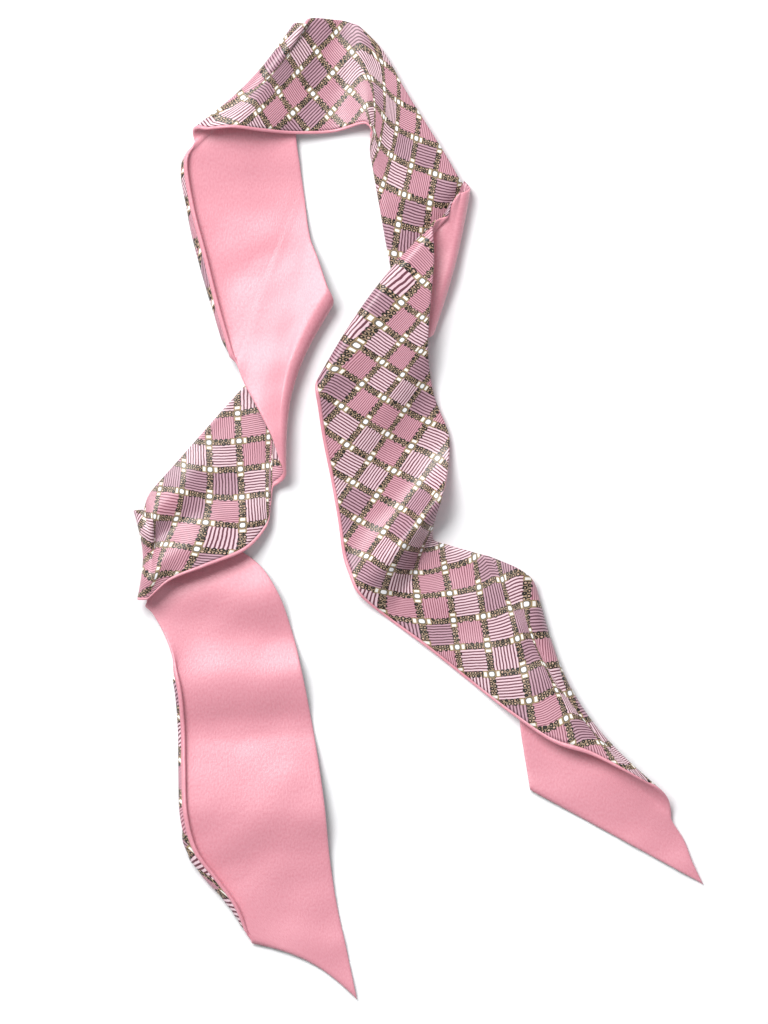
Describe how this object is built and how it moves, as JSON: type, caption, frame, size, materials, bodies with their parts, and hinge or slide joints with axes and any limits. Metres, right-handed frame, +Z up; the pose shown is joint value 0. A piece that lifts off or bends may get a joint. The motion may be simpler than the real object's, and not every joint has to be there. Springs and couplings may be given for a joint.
{
  "type": "printed scarf",
  "caption": "Narrow two-sided satin ribbon scarf, printed on one side and plain on the other, dropped in loose flat folds.",
  "frame": {"origin": "middle of the laid scarf's outline, on the surface that it lies on", "axes": "+Z up off the surface, +Y along the laid length from the two ends towards the loop, +X to the right as seen from above"},
  "size_m": [0.2226, 0.3822, 0.0157],
  "materials": {
    "printed_satin": "soft satin printed with a fine chain trellis",
    "pink_satin": "soft satin, plain rose pink"
  },
  "bodies": {
    "root": {"printed_ply": "printed_satin", "plain_ply": "pink_satin"}
  },
  "joints": []
}
